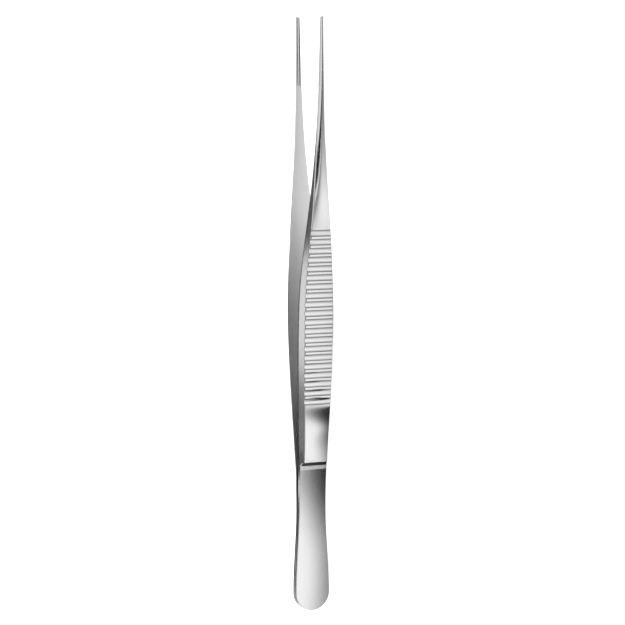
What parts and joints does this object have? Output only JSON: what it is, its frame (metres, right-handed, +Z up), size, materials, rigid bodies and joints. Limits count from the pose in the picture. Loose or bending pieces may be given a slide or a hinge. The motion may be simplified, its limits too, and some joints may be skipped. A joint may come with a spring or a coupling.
{
  "type": "tissue forceps",
  "caption": "Straight fine-toothed tissue forceps with spring legs welded at the heel, fluted finger grips and slender toothed jaws.",
  "frame": {"origin": "bottom centre of the bounding box, with the forceps lying on their side", "axes": "+Y along the length to the tips, +X across the opening towards the leg with a double row of teeth, +Z up across the width of the legs"},
  "size_m": [0.0186, 0.2, 0.0136],
  "materials": {
    "stainless_steel": "fine ground and brushed to a bright satin on the backs, matt satin on the inner faces"
  },
  "bodies": {
    "root": {"double_row_leg": "stainless_steel", "single_row_leg": "stainless_steel"}
  },
  "joints": []
}
